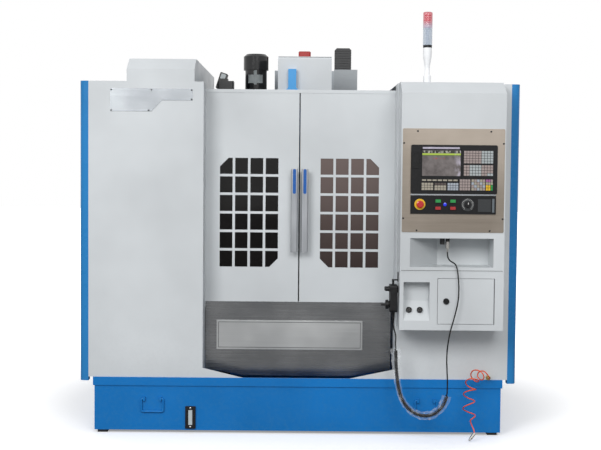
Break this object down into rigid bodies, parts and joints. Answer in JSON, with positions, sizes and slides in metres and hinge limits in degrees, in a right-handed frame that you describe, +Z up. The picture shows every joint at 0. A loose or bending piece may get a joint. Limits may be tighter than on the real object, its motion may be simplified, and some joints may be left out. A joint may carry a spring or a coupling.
{
  "type": "cnc machining center",
  "caption": "Enclosed vertical machining center: sliding grid-window doors, side control box with pendant, tool changer under a raised hood, moving table, saddle and head over a coolant tank.",
  "frame": {"origin": "on the floor, under the middle of the machine's outline", "axes": "+X to the operator's right, +Y from the operator to the back, +Z up"},
  "size_m": [2.24, 2.0999, 2.156],
  "materials": {
    "white_paint": "smooth satin enamel",
    "blue_paint": "semi-gloss enamel",
    "casting_blue": "enamel on cast iron",
    "casting_grey": "enamel on cast iron",
    "stainless": "brushed",
    "dark_stainless": "fine brushed, reflective",
    "aluminium": "brushed",
    "ground_steel": "ground",
    "dark_glass": "tinted",
    "black_plastic": "fine texture",
    "unit_black": "satin",
    "rubber": "matt",
    "clear_sleeve": "black coil under a clear sleeve",
    "orange_hose": "glossy",
    "red_plastic": "glossy",
    "green_plastic": "glossy",
    "lamp_plastic": "clear and red lenses on a white pole",
    "plug_metal": "nickel plated",
    "black_paint": "gloss",
    "duct_grey": "satin",
    "foot_black": "blackened"
  },
  "bodies": {
    "root": {"machine_bed": "casting_blue", "support_feet": "foot_black", "guide_rails": "ground_steel", "machine_column": "casting_grey", "feed_motors": "black_paint", "coolant_tank": "blue_paint", "front_panels": "white_paint", "corner_columns": "blue_paint", "outer_panels": "white_paint", "roof_covers": "white_paint", "inner_guards": "white_paint", "door_track": "white_paint", "front_apron": "dark_stainless", "control_box": "white_paint", "control_plate": "stainless", "cnc_unit": "unit_black", "panel_fittings": "black_plastic", "signal_lamp": "lamp_plastic", "cable_duct": "duct_grey", "changer_drive": "black_paint", "magazine_frame": "casting_grey", "electrical_cabinet": "white_paint", "pendant_body": "black_plastic", "pendant_lead": "rubber", "curly_cord": "clear_sleeve", "socket_cable": "rubber", "cable_plug": "plug_metal", "air_hose": "orange_hose", "hose_coupler": "plug_metal"},
    "left_door": {"left_door": "white_paint", "left_window": "dark_glass", "left_handle": "aluminium"},
    "right_door": {"right_door": "white_paint", "right_window": "dark_glass", "right_handle": "aluminium"},
    "saddle": {"saddle": "casting_grey"},
    "work_table": {"work_table": "ground_steel"},
    "spindle_head": {"spindle_head": "casting_blue", "head_cover": "white_paint"},
    "spindle": {"spindle": "ground_steel"},
    "x_screw": {"x_screw": "ground_steel"},
    "y_screw": {"y_screw": "ground_steel"},
    "z_screw": {"z_screw": "ground_steel"},
    "changer_arm": {"changer_arm": "ground_steel"},
    "magazine_disc": {"magazine_disc": "aluminium"},
    "storage_door": {"storage_door": "white_paint"},
    "storage_latch": {"storage_latch": "black_plastic"},
    "emergency_stop": {"emergency_stop": "red_plastic"},
    "start_button": {"start_button": "green_plastic"},
    "resume_button": {"resume_button": "green_plastic"},
    "stop_button": {"stop_button": "red_plastic"},
    "hold_button": {"hold_button": "red_plastic"},
    "override_knob": {"override_knob": "black_plastic"},
    "card_flap": {"card_flap": "rubber"},
    "axis_knob": {"axis_knob": "black_plastic"},
    "step_knob": {"step_knob": "black_plastic"},
    "handwheel": {"handwheel": "black_plastic"},
    "left_tank_handle": {"left_tank_handle": "blue_paint"},
    "right_tank_handle": {"right_tank_handle": "blue_paint"},
    "cabinet_door": {"cabinet_door": "white_paint"}
  },
  "joints": [
    {"name": "left_door_slide", "type": "slide", "parent": "root", "child": "left_door", "axis": [1, 0, 0], "range_m": [-0.44, 0]},
    {"name": "right_door_slide", "type": "slide", "parent": "root", "child": "right_door", "axis": [1, 0, 0], "range_m": [0, 0.44]},
    {"name": "saddle_slide", "type": "slide", "parent": "root", "child": "saddle", "axis": [0, 1, 0], "range_m": [-0.2, 0.2]},
    {"name": "table_slide", "type": "slide", "parent": "saddle", "child": "work_table", "axis": [1, 0, 0], "range_m": [-0.3, 0.3]},
    {"name": "head_slide", "type": "slide", "parent": "root", "child": "spindle_head", "axis": [0, 0, 1], "range_m": [-0.3, 0.2]},
    {"name": "spindle_spin", "type": "hinge", "parent": "spindle_head", "child": "spindle", "pos_m": [0.025, -0.1, 1.3], "axis": [0, 0, 1], "continuous": true},
    {"name": "x_screw_spin", "type": "hinge", "parent": "saddle", "child": "x_screw", "pos_m": [0.025, -0.1, 0.6], "axis": [1, 0, 0], "continuous": true},
    {"name": "y_screw_spin", "type": "hinge", "parent": "root", "child": "y_screw", "pos_m": [0.025, 0, 0.405], "axis": [0, 1, 0], "continuous": true},
    {"name": "z_screw_spin", "type": "hinge", "parent": "root", "child": "z_screw", "pos_m": [0.025, 0.35, 1.4], "axis": [0, 0, 1], "continuous": true},
    {"name": "changer_swing", "type": "hinge", "parent": "root", "child": "changer_arm", "pos_m": [-0.257, -0.1, 1.125], "axis": [0, 0, 1], "range_deg": [0, 90]},
    {"name": "magazine_spin", "type": "hinge", "parent": "root", "child": "magazine_disc", "pos_m": [-0.58, -0.1, 1.54], "axis": [1, 0, 0], "continuous": true},
    {"name": "storage_door_hinge", "type": "hinge", "parent": "root", "child": "storage_door", "pos_m": [0.964, -1.004, 0.7155], "axis": [0, 0, 1], "range_deg": [0, 100]},
    {"name": "storage_latch_turn", "type": "hinge", "parent": "storage_door", "child": "storage_latch", "pos_m": [0.732, -1, 0.716], "axis": [0, -1, 0], "range_deg": [-90, 0]},
    {"name": "emergency_stop_press", "type": "slide", "parent": "root", "child": "emergency_stop", "axis": [0, 1, 0], "range_m": [0, 0.004]},
    {"name": "override_turn", "type": "hinge", "parent": "root", "child": "override_knob", "pos_m": [0.83, -1.03, 1.196], "axis": [0, -1, 0], "range_deg": [-135, 135]},
    {"name": "card_flap_hinge", "type": "hinge", "parent": "root", "child": "card_flap", "pos_m": [0.569, -1.0235, 1.3725], "axis": [1, 0, 0], "range_deg": [0, 90]},
    {"name": "axis_knob_turn", "type": "hinge", "parent": "root", "child": "axis_knob", "pos_m": [0.447, -0.939, 0.767], "axis": [-1, 0, 0], "range_deg": [-60, 60]},
    {"name": "step_knob_turn", "type": "hinge", "parent": "root", "child": "step_knob", "pos_m": [0.447, -0.901, 0.767], "axis": [-1, 0, 0], "range_deg": [-45, 45]},
    {"name": "handwheel_spin", "type": "hinge", "parent": "root", "child": "handwheel", "pos_m": [0.447, -0.92, 0.688], "axis": [-1, 0, 0], "continuous": true},
    {"name": "left_tank_handle_swing", "type": "hinge", "parent": "root", "child": "left_tank_handle", "pos_m": [-0.747, -0.817, 0.178], "axis": [-1, 0, 0], "range_deg": [0, 90]},
    {"name": "right_tank_handle_swing", "type": "hinge", "parent": "root", "child": "right_tank_handle", "pos_m": [0.661, -0.817, 0.178], "axis": [-1, 0, 0], "range_deg": [0, 90]},
    {"name": "cabinet_door_hinge", "type": "hinge", "parent": "root", "child": "cabinet_door", "pos_m": [-0.604, 1.0373, 1.05], "axis": [0, 0, 1], "range_deg": [0, 110]},
    {"name": "start_button_press", "type": "slide", "parent": "root", "child": "start_button", "axis": [0, 1, 0], "range_m": [0, 0.0025], "stiffness_N_per_m": 600, "springref_m": -0.003},
    {"name": "resume_button_press", "type": "slide", "parent": "root", "child": "resume_button", "axis": [0, 1, 0], "range_m": [0, 0.0025], "stiffness_N_per_m": 600, "springref_m": -0.003},
    {"name": "stop_button_press", "type": "slide", "parent": "root", "child": "stop_button", "axis": [0, 1, 0], "range_m": [0, 0.0025], "stiffness_N_per_m": 600, "springref_m": -0.003},
    {"name": "hold_button_press", "type": "slide", "parent": "root", "child": "hold_button", "axis": [0, 1, 0], "range_m": [0, 0.0025], "stiffness_N_per_m": 600, "springref_m": -0.003}
  ],
  "couplings": [
    {"joint": "x_screw_spin", "follows": "table_slide", "rad_per_m": 628.32},
    {"joint": "y_screw_spin", "follows": "saddle_slide", "rad_per_m": 628.32},
    {"joint": "z_screw_spin", "follows": "head_slide", "rad_per_m": 628.32}
  ]
}
